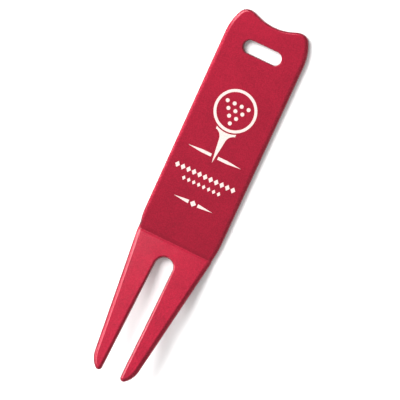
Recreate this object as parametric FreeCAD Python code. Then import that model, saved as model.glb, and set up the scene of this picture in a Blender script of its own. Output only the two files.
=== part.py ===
import FreeCAD, Part
import math
import os
from FreeCAD import Vector

# Divot repair tool: one sheet of aluminium, stamped to shape and bent once, with a white print.
# Millimetres. +Y runs along the handle to its scalloped end, the tines point to -Y, X is across
# and +Z is up. The handle's underside lies on Z = 0, and the fork rises from it towards the tips.
# The shape is drawn with Y = 0 where the flat of the handle ends and the bend begins, and at the
# end everything moves along Y together, so that the origin is under the middle of the whole tool.

# ---- driving dimensions -------------------------------------------------------------------
SHEET = 2.0                # thickness of the sheet
STRIP_WIDTH = 19.4         # width of the strip
DEVELOPED_LENGTH = 88.9    # lobe tops to tine tips before bending, 3 1/2 inch
HANDLE_LENGTH = 55.5       # lobe tops to the start of the bend

BEND_ANGLE = 15.0          # degrees that the fork rises from the handle's plane
BEND_RADIUS = 2.5          # inside radius, on the printed side

FORK_START_WIDTH = 18.6    # width of the sheet where it is bent
FORK_TAPER = 7.35          # degrees that each outer side leans in, from the shoulder to the tip
SHOULDER_RADIUS = 30.0     # eases the straight side of the handle into the taper

GAP_WIDTH = 4.5            # width between the tines at the round end of the gap
GAP_FLARE = 0.3            # degrees that each inner wall leans out towards the tips
CROTCH_DEPTH = 2.8         # sheet left between the bend and the gap
TIP_SIDE_RADIUS = 5.5      # curve that brings a tine's outer side in to its point
TIP_POINT_RADIUS = 0.8     # rounding of the point itself

LOBE_SPACING = 13.0        # between the tops of the two lobes
LOBE_OUTER_RADIUS = 2.1    # rounding of a lobe on its outer side
LOBE_INNER_RADIUS = 4.6    # rounding of a lobe on its inner side
LOBE_LEAN = 27.0           # degrees that a lobe's outer side leans in where its rounding begins
SCALLOP_DEPTH = 1.36       # from the lobe tops to the lowest point between them

SLOT_LENGTH = 9.3          # key slot
SLOT_WIDTH = 3.1
SLOT_BELOW_TOP = 7.55      # centre of the slot below the lobe tops

EDGE_RADIUS = 0.6          # rounding of the long edges of the handle and of the tines
SLOT_EDGE_RADIUS = 0.2

INK = 0.06                 # thickness of the printed film
BALL_TOP = 17.0            # top of the printed ball below the lobe tops
BALL_DIAMETER = 10.0
BALL_STROKE = 0.65
DIMPLE_DIAMETER = 0.9
DIMPLE_PITCH = 1.75        # between neighbouring dimples
DIMPLE_ROWS = 4            # the dimples fill a triangle, one fewer in each row down
TEE_CLEARANCE = 0.35       # bare metal between the ball and the tee
TEE_HEAD_WIDTH = 4.8
TEE_RIM_HEIGHT = 0.55      # upright edge of the tee's head
TEE_NECK_DROP = 2.0        # from the rim down to where the stem begins
TEE_STEM_WIDTH = 1.5
TEE_LENGTH = 7.6           # from the dish under the ball to the point
TURF_WIDTH = 13.2
TURF_STROKE = 0.7
TURF_ABOVE_POINT = 1.6     # the turf line crosses the stem this far above its point
TURF_GAP = 0.45            # bare metal between the turf line and the stem

HALF_STRIP = STRIP_WIDTH / 2
HALF_START = FORK_START_WIDTH / 2
BEND_AXIS_Z = SHEET + BEND_RADIUS
BEND_ARC = (BEND_RADIUS + SHEET / 2) * math.radians(BEND_ANGLE)
FORK_LENGTH = DEVELOPED_LENGTH - HANDLE_LENGTH - BEND_ARC
TOLERANCE = 1e-4


# ---- drawing helpers ----------------------------------------------------------------------
def point(x, y):
    return Vector(x, y, 0)


def line(start, end):
    return Part.LineSegment(start, end).toShape()


def arc(centre, radius, from_degrees, to_degrees):
    """Arc about a centre in the XY plane. The angles are measured from +X towards +Y."""
    def on_circle(degrees):
        angle = math.radians(degrees)
        return centre + point(radius * math.cos(angle), radius * math.sin(angle))

    middle = (from_degrees + to_degrees) / 2
    return Part.Arc(on_circle(from_degrees), on_circle(middle), on_circle(to_degrees)).toShape()


def start_of(edge):
    return edge.valueAt(edge.FirstParameter)


def end_of(edge):
    return edge.valueAt(edge.LastParameter)


def mirrored(edges):
    """The same edges on the other side of X = 0."""
    return [edge.mirror(Vector(0, 0, 0), Vector(1, 0, 0)) for edge in edges]


def plate(edges, thickness):
    """Flat solid between Z = 0 and its thickness, with the given closed outline."""
    ordered = Part.__sortEdges__(edges)
    return Part.Face(Part.Wire(ordered)).extrude(Vector(0, 0, thickness))


def slot_plate(length, width, centre, thickness):
    """Solid with the outline of a slot: two straight sides and two half-round ends."""
    half = width / 2
    reach = (length - width) / 2
    right = centre + point(reach, 0)
    left = centre - point(reach, 0)
    edges = [
        arc(right, half, -90, 90),
        line(right + point(0, half), left + point(0, half)),
        arc(left, half, 90, 270),
        line(left - point(0, half), right - point(0, half)),
    ]
    return plate(edges, thickness)


def polygon_plate(corners, thickness):
    return Part.Face(Part.makePolygon(corners + corners[:1])).extrude(Vector(0, 0, thickness))


def lies_in_face(edge):
    """True for an edge in the upper or the lower face of a sheet that lies on Z = 0."""
    return edge.BoundBox.ZLength < TOLERANCE


# ---- the body -----------------------------------------------------------------------------
def handle_side():
    """Right half of the handle's outline, from the bend up to the middle of the scallop."""
    taper = math.radians(FORK_TAPER)
    knee = point(HALF_STRIP, (HALF_STRIP - HALF_START) / math.tan(taper))
    reach = SHOULDER_RADIUS * math.tan(taper / 2)
    bottom = point(HALF_START, 0)
    shoulder_centre = point(HALF_STRIP - SHOULDER_RADIUS, knee.y + reach)
    shoulder = arc(shoulder_centre, SHOULDER_RADIUS, -FORK_TAPER, 0)

    lobe_x = LOBE_SPACING / 2
    outer_centre = point(lobe_x, HANDLE_LENGTH - LOBE_OUTER_RADIUS)
    outer = arc(outer_centre, LOBE_OUTER_RADIUS, LOBE_LEAN, 90)
    lean = math.radians(LOBE_LEAN)
    side_radius = (HALF_STRIP - start_of(outer).x) / (1 - math.cos(lean))
    side_centre = point(HALF_STRIP - side_radius, start_of(outer).y - side_radius * math.sin(lean))
    side = arc(side_centre, side_radius, 0, LOBE_LEAN)

    fall = 2 * math.atan(SCALLOP_DEPTH / lobe_x)
    scallop_radius = lobe_x / math.sin(fall) - LOBE_INNER_RADIUS
    inner_centre = point(lobe_x, HANDLE_LENGTH - LOBE_INNER_RADIUS)
    inner = arc(inner_centre, LOBE_INNER_RADIUS, 90, 90 + math.degrees(fall))
    scallop_centre = point(0, HANDLE_LENGTH - SCALLOP_DEPTH + scallop_radius)
    scallop = arc(scallop_centre, scallop_radius, -90 + math.degrees(fall), -90)
    return [
        line(bottom, start_of(shoulder)),
        shoulder,
        line(end_of(shoulder), start_of(side)),
        side,
        outer,
        inner,
        scallop,
    ]


def handle():
    """Flat handle with its key slot and rounded edges. Its cut face at Y = 0 stays sharp."""
    right = handle_side()
    across = line(point(-HALF_START, 0), point(HALF_START, 0))
    solid = plate(right + mirrored(right) + [across], SHEET)
    rim = [edge for edge in solid.Edges if lies_in_face(edge) and edge.BoundBox.YMax > TOLERANCE]
    solid = solid.makeFillet(EDGE_RADIUS, rim)

    centre = point(0, HANDLE_LENGTH - SLOT_BELOW_TOP)
    solid = solid.cut(slot_plate(SLOT_LENGTH, SLOT_WIDTH, centre, SHEET))
    slot_edges = []
    for edge in solid.Edges:
        middle = edge.BoundBox.Center
        beside = abs(middle.x) < SLOT_LENGTH / 2 and abs(middle.y - centre.y) < SLOT_WIDTH
        if beside and lies_in_face(edge):
            slot_edges.append(edge)
    return solid.makeFillet(SLOT_EDGE_RADIUS, slot_edges)


def tine_side(wall_top):
    """Outline of the right tine, from the bend down its outer side and up its inner wall."""
    taper = math.radians(FORK_TAPER)
    flare = math.radians(GAP_FLARE)
    reach = FORK_LENGTH - TIP_POINT_RADIUS * (1 - math.sin(flare)) + wall_top.y
    down_wall = point(math.sin(flare), -math.cos(flare))
    into_metal = point(math.cos(flare), math.sin(flare))
    wall_bottom = wall_top + down_wall * (reach / math.cos(flare))
    point_centre = wall_bottom + into_metal * TIP_POINT_RADIUS

    down_side = point(-math.sin(taper), -math.cos(taper))
    inward = point(-math.cos(taper), math.sin(taper))
    bottom = point(HALF_START, 0)
    offset = bottom + inward * TIP_SIDE_RADIUS - point_centre
    behind = offset.dot(down_side)
    apart = TIP_SIDE_RADIUS - TIP_POINT_RADIUS
    travel = -behind - math.sqrt(behind ** 2 - offset.dot(offset) + apart ** 2)
    side_centre = bottom + inward * TIP_SIDE_RADIUS + down_side * travel
    towards = point_centre - side_centre
    meeting = math.degrees(math.atan2(towards.y, towards.x))
    side_arc = arc(side_centre, TIP_SIDE_RADIUS, -FORK_TAPER, meeting)
    point_arc = arc(point_centre, TIP_POINT_RADIUS, meeting, GAP_FLARE - 180)
    return [line(bottom, start_of(side_arc)), side_arc, point_arc, line(wall_bottom, wall_top)]


def fork():
    """Fork as cut from the sheet, flat, with both tines and rounded edges."""
    crotch_radius = GAP_WIDTH / 2
    crotch_centre = point(0, -CROTCH_DEPTH - crotch_radius)
    crotch = arc(crotch_centre, crotch_radius, GAP_FLARE, 180 - GAP_FLARE)
    right = tine_side(start_of(crotch))
    across = line(point(-HALF_START, 0), point(HALF_START, 0))
    solid = plate(right + mirrored(right) + [crotch, across], SHEET)
    rim = [edge for edge in solid.Edges if lies_in_face(edge) and edge.BoundBox.YMin < -TOLERANCE]
    return solid.makeFillet(EDGE_RADIUS, rim)


def body():
    """Handle, bend and fork as one solid."""
    axis_point = Vector(0, 0, BEND_AXIS_Z)
    axis = Vector(-1, 0, 0)
    flat_handle = handle()
    cut_faces = [face for face in flat_handle.Faces if face.BoundBox.YMax < TOLERANCE]
    bend = cut_faces[0].revolve(axis_point, axis, BEND_ANGLE)
    raised_fork = fork()
    raised_fork.rotate(axis_point, axis, BEND_ANGLE)
    return flat_handle.fuse([bend, raised_fork]).removeSplitter()


# ---- the print ----------------------------------------------------------------------------
def below_top(distance):
    return HANDLE_LENGTH - distance


def ball_centre():
    return point(0, below_top(BALL_TOP + BALL_DIAMETER / 2))


def disc(radius, centre):
    return Part.makeCylinder(radius, INK, centre)


def ball_outline():
    outer = BALL_DIAMETER / 2
    return disc(outer, ball_centre()).cut(disc(outer - BALL_STROKE, ball_centre()))


def ball_dimples():
    """Round dots that fill a triangle, point down, about the ball's centre."""
    row_pitch = DIMPLE_PITCH * math.sqrt(3) / 2
    dots = []
    for row in range(DIMPLE_ROWS):
        count = DIMPLE_ROWS - row
        down = (row - (DIMPLE_ROWS - 1) / 3) * row_pitch
        for column in range(count):
            across = (column - (count - 1) / 2) * DIMPLE_PITCH
            dots.append(disc(DIMPLE_DIAMETER / 2, ball_centre() + point(across, -down)))
    return Part.makeCompound(dots)


def tee_top():
    return ball_centre().y - BALL_DIAMETER / 2 - TEE_CLEARANCE


def tee_side():
    """Right half of the tee's outline: rim, hollow neck and stem, down to the point."""
    half_head = TEE_HEAD_WIDTH / 2
    half_stem = TEE_STEM_WIDTH / 2
    rim_top = point(half_head, tee_top() + TEE_RIM_HEIGHT)
    rim = point(half_head, tee_top())
    neck = point(half_stem, tee_top() - TEE_NECK_DROP)
    hollow = point((half_head + 2 * half_stem) / 3, tee_top() - TEE_NECK_DROP / 3)
    return [
        line(rim_top, rim),
        Part.Arc(rim, hollow, neck).toShape(),
        line(neck, point(0, tee_top() - TEE_LENGTH)),
    ]


def tee():
    """Tee seen from the side, with its head dished to fit under the ball."""
    right = tee_side()
    half_head = TEE_HEAD_WIDTH / 2
    rim_level = tee_top() + TEE_RIM_HEIGHT
    lid = line(point(-half_head, rim_level), point(half_head, rim_level))
    dish = disc(BALL_DIAMETER / 2 + TEE_CLEARANCE, ball_centre())
    return plate(right + mirrored(right) + [lid], INK).cut(dish)


def turf_line():
    """Two thin pointed strokes, one on each side of the tee's stem."""
    middle = tee_top() - TEE_LENGTH + TURF_ABOVE_POINT
    inner = TEE_STEM_WIDTH / 4 + TURF_GAP
    outer = TURF_WIDTH / 2
    strokes = []
    for side in (-1, 1):
        corners = [
            point(side * inner, middle + TURF_STROKE / 2),
            point(side * outer / 2, middle + TURF_STROKE / 2),
            point(side * outer, middle),
            point(side * outer / 2, middle - TURF_STROKE / 2),
            point(side * inner, middle - TURF_STROKE / 2),
        ]
        strokes.append(polygon_plate(corners, INK))
    return Part.makeCompound(strokes)


def lozenge(centre, width, height):
    corners = [
        centre + point(width / 2, 0),
        centre + point(0, height / 2),
        centre - point(width / 2, 0),
        centre - point(0, height / 2),
    ]
    return polygon_plate(corners, INK)


def lozenge_row(count, pitch, width, height, depth):
    """A row of lozenges across the handle, centred at this depth below the lobe tops."""
    solids = []
    for index in range(count):
        across = (index - (count - 1) / 2) * pitch
        solids.append(lozenge(point(across, below_top(depth)), width, height))
    return Part.makeCompound(solids)


def upper_rule():
    return lozenge_row(count=11, pitch=1.4, width=1.15, height=1.45, depth=38.5)


def middle_rule():
    return lozenge_row(count=8, pitch=1.26, width=0.85, height=1.1, depth=40.7)


def lower_rule():
    """A lozenge between two bars that taper away from it."""
    level = below_top(45.2)
    middle_size = 1.5
    inner_end = 1.15
    outer_end = 4.85
    half_height = 0.42
    solids = [lozenge(point(0, level), middle_size, middle_size)]
    for side in (-1, 1):
        corners = [
            point(side * inner_end, level - half_height),
            point(side * inner_end, level + half_height),
            point(side * outer_end, level),
        ]
        solids.append(polygon_plate(corners, INK))
    return Part.makeCompound(solids)


# ---- writing the parts --------------------------------------------------------------------
def main():
    tool_body = body()
    prints = {
        "print_ball_outline": ball_outline(),
        "print_ball_dimples": ball_dimples(),
        "print_tee": tee(),
        "print_turf_line": turf_line(),
        "print_upper_rule": upper_rule(),
        "print_middle_rule": middle_rule(),
        "print_lower_rule": lower_rule(),
    }
    box = tool_body.optimalBoundingBox()
    to_origin = Vector(0, -box.Center.y, 0)
    on_handle = to_origin + Vector(0, 0, SHEET)

    os.makedirs("parts", exist_ok=True)
    tool_body.translate(to_origin)
    tool_body.exportStep("parts/tool_body.step")
    for name, shape in prints.items():
        shape.translate(on_handle)
        shape.exportStep("parts/" + name + ".step")

    print("body:", len(tool_body.Solids), "solid, valid", tool_body.isValid())
    print("volume mm3:", round(tool_body.Volume, 1))
    print("length, width, height mm:", round(box.YLength, 2), round(box.XLength, 2), round(box.ZLength, 2))


main()
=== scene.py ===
import math
from collections import namedtuple

import bmesh
import bpy
import numpy as np
from mathutils import Matrix, Vector, geometry


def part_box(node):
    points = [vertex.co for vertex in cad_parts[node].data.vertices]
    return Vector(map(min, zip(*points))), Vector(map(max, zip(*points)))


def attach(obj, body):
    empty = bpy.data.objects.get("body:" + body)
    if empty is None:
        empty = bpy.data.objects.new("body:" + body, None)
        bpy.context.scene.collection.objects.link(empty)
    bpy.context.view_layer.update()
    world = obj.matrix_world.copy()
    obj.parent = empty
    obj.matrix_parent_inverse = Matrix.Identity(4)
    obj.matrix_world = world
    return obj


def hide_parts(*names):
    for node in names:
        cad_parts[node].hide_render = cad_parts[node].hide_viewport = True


# Divot repair tool: the looks of the stamped sheet and its print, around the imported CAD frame.
# Lengths on the tool are in millimetres, and MM turns them into metres. The stage is in metres.

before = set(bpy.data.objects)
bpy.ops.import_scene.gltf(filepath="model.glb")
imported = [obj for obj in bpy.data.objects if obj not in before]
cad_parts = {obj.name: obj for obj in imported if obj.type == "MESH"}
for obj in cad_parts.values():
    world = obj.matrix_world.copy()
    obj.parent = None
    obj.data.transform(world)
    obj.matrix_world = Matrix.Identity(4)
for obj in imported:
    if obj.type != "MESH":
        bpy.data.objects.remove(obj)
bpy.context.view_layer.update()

MM = 0.001

# ---- the sheet, as in the CAD model ---------------------------------------------------------
SHEET = 2.0
HANDLE_LENGTH = 55.5
DEVELOPED_LENGTH = 88.9
BEND_ANGLE = math.radians(15.0)
BEND_RADIUS = 2.5
FORK_START_WIDTH = 18.6
FORK_TAPER = math.radians(7.35)
SHOULDER_RADIUS = 30.0
GAP_WIDTH = 4.5
GAP_FLARE = math.radians(0.3)
CROTCH_DEPTH = 2.8
TIP_SIDE_RADIUS = 5.5
TIP_POINT_RADIUS = 0.8
LOBE_SPACING = 13.0
LOBE_OUTER_RADIUS = 2.1
LOBE_INNER_RADIUS = 4.6
LOBE_LEAN = math.radians(27.0)
SCALLOP_DEPTH = 1.36
SLOT_LENGTH = 9.3
SLOT_WIDTH = 3.1
SLOT_BELOW_TOP = 7.55

BODY_LOW, BODY_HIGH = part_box("tool_body")
HALF_STRIP = BODY_HIGH.x / MM
HALF_START = FORK_START_WIDTH / 2
BEND_START_Y = BODY_HIGH.y / MM - HANDLE_LENGTH
BEND_AXIS_Z = SHEET + BEND_RADIUS
NEUTRAL_RADIUS = BEND_RADIUS + SHEET / 2
BEND_ARC = NEUTRAL_RADIUS * BEND_ANGLE
FORK_LENGTH = DEVELOPED_LENGTH - HANDLE_LENGTH - BEND_ARC
GAP_TOP = -BEND_ARC - CROTCH_DEPTH

# ---- finish of the edges --------------------------------------------------------------------
# Each edge's rounding reaches so far in and so far down, with this share of straight slope.
Edge = namedtuple("Edge", "reach drop slope")
HANDLE_EDGE = Edge(reach=0.90, drop=0.38, slope=0.0)
SCALLOP_EDGE = Edge(reach=0.50, drop=0.40, slope=0.0)
FORK_EDGE = Edge(reach=0.85, drop=0.60, slope=0.35)
CROTCH_EDGE = Edge(reach=0.35, drop=0.35, slope=0.0)
GAP_EDGE = Edge(reach=0.62, drop=0.50, slope=0.0)
TIP_EDGE = Edge(reach=0.64, drop=0.60, slope=0.0)
SLOT_EDGE = Edge(reach=0.25, drop=0.25, slope=0.0)
SCALLOP_BLEND = 4.0        # distance in from the sides over which the scallop's rounding takes over
EDGE_GROWTH = 9.0          # distance over which the fork's rounding takes over below the bend
GAP_GROWTH = 16.0          # and the gap's below the crotch
TIP_BLEND = 3.0            # distance from the tips over which theirs takes over
CREASE_DEPTH = 0.04        # mark that the bending punch leaves across the printed side
CREASE_HALF_WIDTH = 0.16
NICK_ABOVE_BEND = 1.25     # a small knock in the left edge, just above the bend
NICK_HALF_LENGTH = 0.8
NICK_DEPTH = 0.12
NICK_FADE = 0.6            # height over which it fades into the side wall

# ---- fineness of the mesh ---------------------------------------------------------------------
OUTLINE_STEP = 0.25        # longest step between two points of an outline
EDGE_STEPS = 8             # strips of faces over each rounded edge
BEND_STEPS = 12            # strips of faces through the bend
SUPPORT = 0.08             # one more ring this far inside a flat keeps its shading even
GRID_SPACING = 0.9         # between the points that fill a flat
GRID_CLEARANCE = 0.35      # they keep off the flat's rings by this share of their spacing
ON_MIDDLE = 1e-6           # a point this near to X = 0 has no mirror image
SAME_PLACE = 1e-7          # points this near to each other are one


# ---- outline ---------------------------------------------------------------------------------
def steps_for(length, step):
    return max(1, math.ceil(length / step))


def sample_line(start, end, step):
    """Points from start up to, but not including, end, each with the normal on its left."""
    along = (end - start).normalized()
    normal = Vector((-along.y, along.x))
    count = steps_for((end - start).length, step)
    return [(start.lerp(end, i / count), normal) for i in range(count)]


def sample_arc(centre, radius, first, last, step, hollow=False):
    """The same round an arc. A hollow arc has the metal outside it."""
    count = steps_for(abs(last - first) * radius, step)
    side = -1 if hollow else 1
    points = []
    for i in range(count):
        angle = first + (last - first) * i / count
        normal = Vector((math.cos(angle), math.sin(angle)))
        points.append((centre + normal * radius, normal * side))
    return points


def on_circle(centre, radius, angle):
    return centre + Vector((math.cos(angle), math.sin(angle))) * radius


def mirror_half(half):
    """The left half that follows the right half of a closed outline, last point first."""
    return [
        (Vector((-p.x, p.y)), Vector((-n.x, n.y)))
        for p, n in reversed(half)
        if p.x > ON_MIDDLE
    ]


def tine_points(step):
    """Outer side, side curve, point and inner wall of the right tine, from the bend's end."""
    crotch_radius = GAP_WIDTH / 2
    crotch_centre = Vector((0, GAP_TOP - crotch_radius))
    wall_top = on_circle(crotch_centre, crotch_radius, GAP_FLARE)
    tip_level = -BEND_ARC - FORK_LENGTH
    reach = wall_top.y - tip_level - TIP_POINT_RADIUS * (1 - math.sin(GAP_FLARE))
    wall_bottom = wall_top + Vector((math.tan(GAP_FLARE), -1)) * reach
    into_metal = Vector((math.cos(GAP_FLARE), math.sin(GAP_FLARE)))
    point_centre = wall_bottom + into_metal * TIP_POINT_RADIUS

    fork_top = Vector((HALF_START, -BEND_ARC))
    down_side = Vector((-math.sin(FORK_TAPER), -math.cos(FORK_TAPER)))
    inward = Vector((-math.cos(FORK_TAPER), math.sin(FORK_TAPER)))
    offset = fork_top + inward * TIP_SIDE_RADIUS - point_centre
    behind = offset.dot(down_side)
    apart = TIP_SIDE_RADIUS - TIP_POINT_RADIUS
    travel = -behind - math.sqrt(behind ** 2 - offset.length_squared + apart ** 2)
    side_centre = fork_top + inward * TIP_SIDE_RADIUS + down_side * travel
    towards = point_centre - side_centre
    meeting = math.atan2(towards.y, towards.x)
    side_start = on_circle(side_centre, TIP_SIDE_RADIUS, -FORK_TAPER)

    points = sample_line(fork_top, side_start, step)
    points += sample_arc(side_centre, TIP_SIDE_RADIUS, -FORK_TAPER, meeting, step)
    points += sample_arc(point_centre, TIP_POINT_RADIUS, meeting, GAP_FLARE - math.pi, step / 2)
    points += sample_line(wall_bottom, wall_top, step)
    points += sample_arc(crotch_centre, crotch_radius, GAP_FLARE, math.pi / 2, step, hollow=True)
    points.append((crotch_centre + Vector((0, crotch_radius)), Vector((0, -1))))
    return points


def handle_points(step):
    """Right half of the handle's outline, from the middle of the scallop to the bend's start."""
    lobe_x = LOBE_SPACING / 2
    fall = 2 * math.atan(SCALLOP_DEPTH / lobe_x)
    scallop_radius = lobe_x / math.sin(fall) - LOBE_INNER_RADIUS
    scallop_centre = Vector((0, HANDLE_LENGTH - SCALLOP_DEPTH + scallop_radius))
    inner_centre = Vector((lobe_x, HANDLE_LENGTH - LOBE_INNER_RADIUS))
    outer_centre = Vector((lobe_x, HANDLE_LENGTH - LOBE_OUTER_RADIUS))
    lobe_end = on_circle(outer_centre, LOBE_OUTER_RADIUS, LOBE_LEAN)
    side_radius = (HALF_STRIP - lobe_end.x) / (1 - math.cos(LOBE_LEAN))
    side_centre = Vector((HALF_STRIP - side_radius, lobe_end.y - side_radius * math.sin(LOBE_LEAN)))
    knee = (HALF_STRIP - HALF_START) / math.tan(FORK_TAPER)
    shoulder_y = knee + SHOULDER_RADIUS * math.tan(FORK_TAPER / 2)
    shoulder_centre = Vector((HALF_STRIP - SHOULDER_RADIUS, shoulder_y))
    shoulder_end = on_circle(shoulder_centre, SHOULDER_RADIUS, -FORK_TAPER)

    up = math.pi / 2
    points = sample_arc(scallop_centre, scallop_radius, -up, fall - up, step, hollow=True)
    points += sample_arc(inner_centre, LOBE_INNER_RADIUS, up + fall, up, step)
    points += sample_arc(outer_centre, LOBE_OUTER_RADIUS, up, LOBE_LEAN, step)
    points += sample_arc(side_centre, side_radius, LOBE_LEAN, 0, step)
    points += sample_line(Vector((HALF_STRIP, side_centre.y)), Vector((HALF_STRIP, shoulder_y)), step)
    points += sample_arc(shoulder_centre, SHOULDER_RADIUS, 0, -FORK_TAPER, step)
    points += sample_line(shoulder_end, Vector((HALF_START, 0)), step / 2)
    return points


def bend_points(step):
    """Short straight side through the bend, with the normal of the slanted sides on its two ends."""
    normal = Vector((math.cos(FORK_TAPER), -math.sin(FORK_TAPER)))
    line = sample_line(Vector((HALF_START, 0)), Vector((HALF_START, -BEND_ARC)), step)
    return [(point, normal) for point, _ in line]


def body_outline(step):
    """Closed outline, clockwise from the middle of the scallop, as points and outward normals."""
    half = handle_points(step) + bend_points(BEND_ARC / BEND_STEPS) + tine_points(step)
    left = mirror_half(half)
    return half + left


def slot_outline(step):
    """Closed outline of the key slot. Its normals point into the hole, away from the metal."""
    half = SLOT_WIDTH / 2
    reach = (SLOT_LENGTH - SLOT_WIDTH) / 2
    level = HANDLE_LENGTH - SLOT_BELOW_TOP
    right = Vector((reach, level))
    left = Vector((-reach, level))
    up = Vector((0, half))
    quarter = math.pi / 2
    points = sample_arc(right, half, -quarter, quarter, step, hollow=True)
    points += sample_line(right + up, left + up, step)
    points += sample_arc(left, half, quarter, 3 * quarter, step, hollow=True)
    points += sample_line(left - up, right - up, step)
    return points


# ---- rounding, bend and small marks -----------------------------------------------------------
def smooth_step(value):
    value = min(1.0, max(0.0, value))
    return value * value * (3 - 2 * value)


def fork_share(point):
    """0 on the handle, 1 well down the fork."""
    return smooth_step(-point.y / EDGE_GROWTH)


def scallop_share(point):
    """0 on the handle's long sides, 1 in the scallop at its end."""
    if point.y < HANDLE_LENGTH / 2:
        return 0.0
    return smooth_step((HALF_STRIP - abs(point.x)) / SCALLOP_BLEND)


def between(first, second, share):
    """Edge part of the way from the first, at 0, to the second, at 1."""
    return Edge(*(a + (b - a) * share for a, b in zip(first, second)))


def body_edge(point):
    """Rounding at a place on the body's outline."""
    off_tip = smooth_step((point.y + BEND_ARC + FORK_LENGTH) / TIP_BLEND)
    edge = between(HANDLE_EDGE, FORK_EDGE, fork_share(point))
    edge = between(edge, SCALLOP_EDGE, scallop_share(point))
    if point.y < 0 and abs(point.x) < GAP_WIDTH / 2 + TIP_POINT_RADIUS:
        edge = between(CROTCH_EDGE, GAP_EDGE, smooth_step((GAP_TOP - point.y) / GAP_GROWTH))
    return between(TIP_EDGE, edge, off_tip)


def slot_edge(_point):
    """Rounding of the slot, the same all round."""
    return SLOT_EDGE


def bent(x, y, z):
    """Place in the frame, in metres, of a point of the flat sheet, in millimetres."""
    along = -y
    if along <= 0:
        return Vector((x, BEND_START_Y + y, z)) * MM
    turn = min(along / NEUTRAL_RADIUS, BEND_ANGLE)
    arm = BEND_AXIS_Z - z
    past = max(0.0, along - BEND_ARC)
    new_y = BEND_START_Y - arm * math.sin(turn) - past * math.cos(turn)
    new_z = BEND_AXIS_Z - arm * math.cos(turn) + past * math.sin(turn)
    return Vector((x, new_y, new_z)) * MM


def crease(y):
    """Depth of the punch's mark across the printed side, at a place along the flat sheet."""
    return CREASE_DEPTH * math.exp(-(y / CREASE_HALF_WIDTH) ** 2)


def nick(x, y, z):
    """Strength of the knock in the left upper edge, 0 to 1."""
    if x > -HALF_START + HANDLE_EDGE.reach:
        return 0.0
    along = (y - NICK_ABOVE_BEND) / NICK_HALF_LENGTH
    return math.exp(-along ** 2) * smooth_step((z - SHEET / 2) / NICK_FADE)


# ---- mesh of the sheet -------------------------------------------------------------------------
RIM = "rim"                # vertex value: 0 on the flats, 1 on the sheet's side wall
CORNER = "corner"          # vertex value: 1 halfway round an edge, where it wears first
NICK_SHADE_MARK = "dark"              # vertex value: 1 in the nick, where its shade is painted in dark


def inset_ring(outline, edge_of, share):
    """Outline moved into the metal by a share of its rounding, plus the drop at that place."""
    angle = share * math.pi / 2
    ring = []
    for point, normal in outline:
        edge = edge_of(point)
        inset = edge.reach * ((1 - math.cos(angle)) * (1 - edge.slope) + share * edge.slope)
        drop = edge.drop * ((1 - math.sin(angle)) * (1 - edge.slope) + (1 - share) * edge.slope)
        ring.append((point - normal * inset, drop))
    return ring


def support_ring(outline, edge_of):
    """Outline moved to just inside the flat, where nothing drops."""
    return [(point - normal * (edge_of(point).reach + SUPPORT), 0.0) for point, normal in outline]


def add_wall(mesh, outline, edge_of):
    """Rounded rim of one outline. Returns its innermost rings in the upper and lower face."""
    shares = [i / EDGE_STEPS for i in range(EDGE_STEPS, -1, -1)]
    rings = [(support_ring(outline, edge_of), 0.0)]
    rings += [(inset_ring(outline, edge_of, share), 1 - share) for share in shares]
    upper = [([(p, SHEET - drop) for p, drop in ring], rim) for ring, rim in rings]
    lower = [([(p, drop) for p, drop in ring], rim) for ring, rim in reversed(rings)]
    rim_layer = mesh.verts.layers.float[RIM]
    rows = []
    for ring, rim in upper + lower:
        row = [mesh.verts.new((p.x, p.y, z)) for p, z in ring]
        for vertex in row:
            vertex[rim_layer] = rim
        rows.append(row)
    count = len(outline)
    for above, below in zip(rows, rows[1:]):
        for i in range(count):
            j = (i + 1) % count
            mesh.faces.new((above[i], above[j], below[j], below[i]))
    return rows[0], rows[-1]


def inside(points, ring):
    """For each point, whether it lies inside a closed ring."""
    corners = np.array([(v.co.x, v.co.y) for v in ring])
    following = np.roll(corners, -1, axis=0)
    result = np.zeros(len(points), bool)
    for (x0, y0), (x1, y1) in zip(corners, following):
        crosses = (y0 > points[:, 1]) != (y1 > points[:, 1])
        with np.errstate(divide="ignore", invalid="ignore"):
            at = (x1 - x0) * (points[:, 1] - y0) / (y1 - y0) + x0
        result ^= crosses & (points[:, 0] < at)
    return result


def clear_of(points, rings, distance):
    """Keeps the points that are at least this far from every vertex of the rings."""
    corners = np.array([(v.co.x, v.co.y) for ring in rings for v in ring])
    keep = []
    for point in points:
        keep.append(np.min(np.hypot(*(corners - point).T)) > distance)
    return points[np.array(keep)]


def bend_rows():
    """Levels along the sheet that need a row of edges, so that the bend is smooth."""
    rows = [-BEND_ARC * i / BEND_STEPS for i in range(BEND_STEPS + 1)]
    margins = [SUPPORT, SUPPORT * 3]
    return margins[::-1] + rows + [-BEND_ARC - margin for margin in margins]


def fill_points(outer, hole, spacing):
    """Points inside the flat for its triangles: a loose grid and closer rows at the bend."""
    levels = list(np.arange(-DEVELOPED_LENGTH, HANDLE_LENGTH, spacing))
    rows = bend_rows()
    levels = [y for y in levels if y > rows[0] + spacing / 2 or y < rows[-1] - spacing / 2]
    across = np.arange(-HALF_STRIP, HALF_STRIP, spacing)
    grid = []
    for index, y in enumerate(levels):
        shift = spacing / 2 if index % 2 else 0
        grid += [(x + shift, y) for x in across]
    grid += [(x, y) for y in rows for x in across]
    grid = np.array(grid)
    grid = grid[inside(grid, outer)]
    grid = grid[~inside(grid, hole)]
    return clear_of(grid, [outer, hole], spacing * GRID_CLEARANCE)


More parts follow.
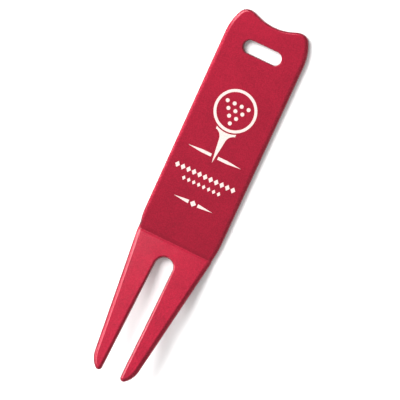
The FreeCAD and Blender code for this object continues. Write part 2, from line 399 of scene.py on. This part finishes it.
def add_flat(mesh, outer, hole, level, facing_up):
    """Triangles of one flat face, between the rim's ring and the slot's ring."""
    inner = fill_points(outer, hole, GRID_SPACING)
    ring_vertices = outer + hole
    coordinates = [Vector((v.co.x, v.co.y)) for v in ring_vertices]
    coordinates += [Vector(p) for p in inner]
    edges = [(i, (i + 1) % len(outer)) for i in range(len(outer))]
    edges += [(len(outer) + i, len(outer) + (i + 1) % len(hole)) for i in range(len(hole))]
    out_to_hull = 0
    made = geometry.delaunay_2d_cdt(coordinates, edges, [], out_to_hull, SAME_PLACE, True)
    new_points, _, new_faces, sources = made[:4]
    vertices = []
    for place, origin in zip(new_points, sources):
        if origin and origin[0] < len(ring_vertices):
            vertices.append(ring_vertices[origin[0]])
        else:
            vertices.append(mesh.verts.new((place.x, place.y, level)))
    middles = np.array([np.mean([new_points[i] for i in face], axis=0) for face in new_faces])
    wanted = inside(middles, outer) & ~inside(middles, hole)
    for face, keep in zip(new_faces, wanted):
        if keep:
            order = face if facing_up else reversed(face)
            mesh.faces.new([vertices[i] for i in order])


def shape_sheet(mesh):
    """Presses the crease and the nick into the flat sheet, then bends it."""
    layers = mesh.verts.layers.float
    for vertex in mesh.verts:
        x, y, z = vertex.co
        rim = vertex[layers[RIM]]
        knock = nick(x, y, z)
        x += NICK_DEPTH * knock * rim
        z -= crease(y) * smooth_step(z / SHEET) * (1 - smooth_step(rim * 2))
        vertex[layers[CORNER]] = 4 * rim * (1 - rim)
        # mask for the painted shade: the nick's strength on its side wall
        vertex[layers[NICK_SHADE_MARK]] = knock * smooth_step(rim * 2)
        vertex.co = bent(x, y, z)


def link(name, mesh):
    """Smooth-shaded object of this name, made from the mesh."""
    data = bpy.data.meshes.new(name)
    mesh.to_mesh(data)
    mesh.free()
    piece = bpy.data.objects.new(name, data)
    bpy.context.scene.collection.objects.link(piece)
    for polygon in data.polygons:
        polygon.use_smooth = True
    return piece


def make_sheet():
    """The whole body: one closed mesh with rounded edges, key slot, crease and bent fork."""
    mesh = bmesh.new()
    for layer in (RIM, CORNER, NICK_SHADE_MARK):
        mesh.verts.layers.float.new(layer)
    outer_top, outer_bottom = add_wall(mesh, body_outline(OUTLINE_STEP), body_edge)
    hole_top, hole_bottom = add_wall(mesh, slot_outline(OUTLINE_STEP), slot_edge)
    add_flat(mesh, outer_top, hole_top, SHEET, facing_up=True)
    add_flat(mesh, outer_bottom, hole_bottom, 0.0, facing_up=False)
    shape_sheet(mesh)
    bmesh.ops.recalc_face_normals(mesh, faces=mesh.faces)
    return link("anodised_sheet", mesh)


# ---- materials ------------------------------------------------------------------------------
MICRON = 0.000001

DYE_DEEP = (0.180, 0.0039, 0.0160)       # where the metal took most dye
DYE_THIN = (0.264, 0.0064, 0.0229)       # and where it took least
ETCH_SPECK = (0.32, 0.013, 0.034)        # bright points of the etched grain
ETCH_PIT = (0.130, 0.0020, 0.0100)       # and its pits
WORN_DYE = (0.36, 0.045, 0.070)          # edges that handling has worn
NICK_SHADE_PAINT = (0.015, 0.004, 0.006)             # painted shade in the nick
INK_THIN = (0.52, 0.36, 0.34)            # ink that lets some red through
INK_FULL = (0.60, 0.47, 0.44)
FLOOR_LOW = (0.86, 0.86, 0.86)
FLOOR_HIGH = (0.88, 0.88, 0.88)
CLOUD_SHARE = 0.30                       # of the wide clouding in the dye, beside its fine mottle


class Nodes:
    """Short way to build a material's node tree."""

    def __init__(self, name):
        self.material = bpy.data.materials.new(name)
        self.material.use_nodes = True
        self.tree = self.material.node_tree
        self.tree.nodes.clear()
        self.surface = self.add("ShaderNodeBsdfPrincipled")
        output = self.add("ShaderNodeOutputMaterial")
        self.join(self.surface, "BSDF", output, "Surface")

    def add(self, kind, **settings):
        node = self.tree.nodes.new(kind)
        for key, value in settings.items():
            setattr(node, key, value)
        return node

    def join(self, source, output, target, socket):
        self.tree.links.new(source.outputs[output], target.inputs[socket])

    def place(self):
        """Object coordinates, which are the frame's own metres."""
        return self.add("ShaderNodeTexCoord")

    def stretched(self, scale):
        """The same, scaled along each axis."""
        node = self.add("ShaderNodeMapping")
        node.inputs["Scale"].default_value = scale
        self.join(self.place(), "Object", node, "Vector")
        return node

    def noise(self, scale, detail=2.0, rough=0.5, stretch=(1, 1, 1)):
        node = self.add("ShaderNodeTexNoise")
        node.inputs["Scale"].default_value = scale
        node.inputs["Detail"].default_value = detail
        node.inputs["Roughness"].default_value = rough
        self.join(self.stretched(stretch), "Vector", node, "Vector")
        return node

    def spread(self, source, output, low, high, from_low=0.3, from_high=0.7):
        """The source's value, moved from its own range to a new one."""
        node = self.add("ShaderNodeMapRange")
        node.inputs["From Min"].default_value = from_low
        node.inputs["From Max"].default_value = from_high
        node.inputs["To Min"].default_value = low
        node.inputs["To Max"].default_value = high
        self.join(source, output, node, "Value")
        return node

    def blend(self, factor, output, first, second):
        """Colour that goes from the first to the second with the factor. The first may be a node."""
        node = self.add("ShaderNodeMix", data_type="RGBA")
        if isinstance(first, tuple):
            node.inputs["A"].default_value = (*first, 1)
        else:
            self.tree.links.new(first.outputs["Result"], node.inputs["A"])
        node.inputs["B"].default_value = (*second, 1)
        self.join(factor, output, node, "Factor")
        return node

    def times(self, first, first_output, second, second_output):
        """Product of two values."""
        node = self.add("ShaderNodeMath", operation="MULTIPLY")
        self.join(first, first_output, node, 0)
        self.join(second, second_output, node, 1)
        return node

    def mark(self, name):
        """Value stored on the mesh's vertices."""
        return self.add("ShaderNodeAttribute", attribute_name=name)

    def bump(self, source, output, distance, after=None):
        """Relief of this height. It adds to the relief that comes before it."""
        node = self.add("ShaderNodeBump")
        node.inputs["Distance"].default_value = distance
        self.join(source, output, node, "Height")
        if after:
            self.join(after, "Normal", node, "Normal")
        return node


def red_anodised():
    """Dyed, satin-etched aluminium: metal under a thin clear oxide, with a very fine grain."""
    nodes = Nodes("red_anodised")
    surface = nodes.surface
    surface.inputs["Metallic"].default_value = 1.0
    surface.inputs["Coat Weight"].default_value = 0.3
    surface.inputs["Coat Roughness"].default_value = 0.14
    surface.inputs["Coat IOR"].default_value = 1.6

    cloud = nodes.noise(scale=240, detail=2.0)
    mottle = nodes.noise(scale=3400, detail=3.0)
    etch = nodes.noise(scale=8000, detail=3.0, rough=0.6)
    rolled = nodes.noise(scale=3400, detail=3.0, rough=0.6, stretch=(1, 0.25, 1))

    dye = nodes.add("ShaderNodeMath", operation="MULTIPLY_ADD")
    dye.inputs[1].default_value = CLOUD_SHARE
    nodes.join(cloud, "Fac", dye, 0)
    nodes.join(mottle, "Fac", dye, 2)
    tone = nodes.spread(dye, "Value", 0.0, 1.0, from_low=0.475, from_high=0.825)
    colour = nodes.blend(tone, "Result", DYE_DEEP, DYE_THIN)
    dots = nodes.spread(etch, "Fac", 0.0, 0.6, from_low=0.5, from_high=0.8)
    colour = nodes.blend(dots, "Result", colour, ETCH_SPECK)
    pits = nodes.spread(etch, "Fac", 0.45, 0.0, from_low=0.2, from_high=0.5)
    colour = nodes.blend(pits, "Result", colour, ETCH_PIT)

    patches = nodes.spread(mottle, "Fac", 0.0, 0.4, from_low=0.45, from_high=0.7)
    wear = nodes.times(nodes.mark(CORNER), "Fac", patches, "Result")
    colour = nodes.blend(wear, "Value", colour, WORN_DYE)
    # painted shade: the nick is darkened to near black, a little unevenly
    nick_shade_tone = nodes.spread(mottle, "Fac", 1.0, 0.5, from_low=0.4, from_high=0.7)
    nick_shade = nodes.times(nodes.mark(NICK_SHADE_MARK), "Fac", nick_shade_tone, "Result")
    colour = nodes.blend(nick_shade, "Value", colour, NICK_SHADE_PAINT)
    nodes.join(colour, "Result", surface, "Base Color")

    rough = nodes.spread(rolled, "Fac", 0.45, 0.57)
    nodes.join(rough, "Result", surface, "Roughness")
    fine = nodes.bump(etch, "Fac", distance=10 * MICRON)
    grain = nodes.bump(rolled, "Fac", distance=8 * MICRON, after=fine)
    nodes.join(grain, "Normal", surface, "Normal")
    skin = nodes.bump(etch, "Fac", distance=2.5 * MICRON)
    nodes.join(skin, "Normal", surface, "Coat Normal")
    return nodes.material


def white_ink():
    """Printed ink film: warm white, slightly uneven, with the red just showing through."""
    nodes = Nodes("white_ink")
    surface = nodes.surface
    surface.inputs["Specular IOR Level"].default_value = 0.4
    uneven = nodes.noise(scale=3800, detail=3.0)
    cover = nodes.spread(uneven, "Fac", 0.0, 1.0, from_low=0.28, from_high=0.55)
    colour = nodes.blend(cover, "Result", INK_THIN, INK_FULL)
    nodes.join(colour, "Result", surface, "Base Color")
    rough = nodes.spread(uneven, "Fac", 0.42, 0.6)
    nodes.join(rough, "Result", surface, "Roughness")
    film = nodes.bump(uneven, "Fac", distance=6 * MICRON)
    nodes.join(film, "Normal", surface, "Normal")
    return nodes.material


def floor_paint():
    """Matt off-white, with a faint unevenness."""
    nodes = Nodes("pale_floor")
    surface = nodes.surface
    soft = nodes.noise(scale=14, detail=2.0)
    colour = nodes.blend(soft, "Fac", FLOOR_LOW, FLOOR_HIGH)
    nodes.join(colour, "Result", surface, "Base Color")
    surface.inputs["Roughness"].default_value = 0.9
    surface.inputs["Specular IOR Level"].default_value = 0.1
    return nodes.material


# ---- stage ------------------------------------------------------------------------------------
FLOOR_HALF = 1.5           # half the width of the floor
SKY_STRENGTH = 0.72        # even white light from all round


def make_floor():
    """Plain floor that the handle lies on."""
    mesh = bmesh.new()
    half = FLOOR_HALF
    corners = [(-half, -half), (half, -half), (half, half), (-half, half)]
    mesh.faces.new([mesh.verts.new((x, y, BODY_LOW.z)) for x, y in corners])
    floor = link("floor", mesh)
    floor.data.materials.append(floor_paint())


def softbox(name, towards, distance, width, height, radiance):
    """Rectangular soft light of even brightness that faces the tool."""
    data = bpy.data.lights.new(name, "AREA")
    data.shape = "RECTANGLE"
    data.size = width
    data.size_y = height
    data.energy = radiance * math.pi * width * height
    light = bpy.data.objects.new(name, data)
    direction = Vector(towards).normalized()
    light.location = direction * distance
    light.rotation_euler = direction.to_track_quat("Z", "Y").to_euler()
    bpy.context.scene.collection.objects.link(light)


def make_lights():
    """Soft key over the left side, a long strip low beside it and a low fill before the tines."""
    softbox("key", (-0.45, 0.26, 0.86), distance=0.9, width=0.4, height=0.4, radiance=15.7)
    softbox("left_strip", (-0.86, 0.05, 0.50), distance=0.8, width=0.9, height=0.16, radiance=13.5)
    softbox("tip_fill", (-0.35, -0.85, 0.38), distance=0.8, width=0.5, height=0.2, radiance=9.0)
    world = bpy.data.worlds.new("studio")
    world.use_nodes = True
    background = world.node_tree.nodes["Background"]
    background.inputs["Color"].default_value = (1, 1, 1, 1)
    background.inputs["Strength"].default_value = SKY_STRENGTH
    bpy.context.scene.world = world


CAMERA_SIDE = math.radians(7.1)      # the camera stands this far over the right side
CAMERA_UP = math.radians(9.34)       # and this far over the handle's end
CAMERA_ROLL = math.radians(24.65)    # the tool lies turned by this much in the picture
CAMERA_DISTANCE = 0.45
SENSOR_WIDTH = 36.0                  # millimetres
NEAREST = 0.01                       # nothing nearer to the camera is drawn
VIEW_WIDTH = 0.0907                  # width of the picture at the tool
AIM = Vector((0.0, 0.0, SHEET * MM))
FRAME_OFFSET = (0.0118, -0.0031)     # picture's middle from the tool's middle, in picture widths


def make_camera():
    """Camera with a long lens, almost straight above the tool."""
    data = bpy.data.cameras.new("camera")
    data.sensor_width = SENSOR_WIDTH
    data.lens = SENSOR_WIDTH * CAMERA_DISTANCE / VIEW_WIDTH
    data.clip_start = NEAREST
    camera = bpy.data.objects.new("camera", data)
    across = Vector((math.cos(CAMERA_SIDE), 0, -math.sin(CAMERA_SIDE)))
    back = Vector((
        math.sin(CAMERA_SIDE) * math.cos(CAMERA_UP),
        math.sin(CAMERA_UP),
        math.cos(CAMERA_SIDE) * math.cos(CAMERA_UP),
    ))
    along = back.cross(across)
    right = across * math.cos(CAMERA_ROLL) + along * math.sin(CAMERA_ROLL)
    up = along * math.cos(CAMERA_ROLL) - across * math.sin(CAMERA_ROLL)
    aim = AIM + (right * FRAME_OFFSET[0] + up * FRAME_OFFSET[1]) * VIEW_WIDTH
    turned = Matrix((right, up, back)).transposed()
    camera.matrix_world = Matrix.Translation(aim + back * CAMERA_DISTANCE) @ turned.to_4x4()
    bpy.context.scene.collection.objects.link(camera)
    bpy.context.scene.camera = camera


# ---- assembly ---------------------------------------------------------------------------------
make_camera()
make_lights()
make_floor()
bpy.context.scene.view_settings.view_transform = "Standard"

sheet = make_sheet()
sheet.data.materials.append(red_anodised())
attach(sheet, "root")
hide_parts("tool_body")

ink = white_ink()
for name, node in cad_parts.items():
    if name.startswith("print_"):
        for slot in node.material_slots:
            slot.material = ink
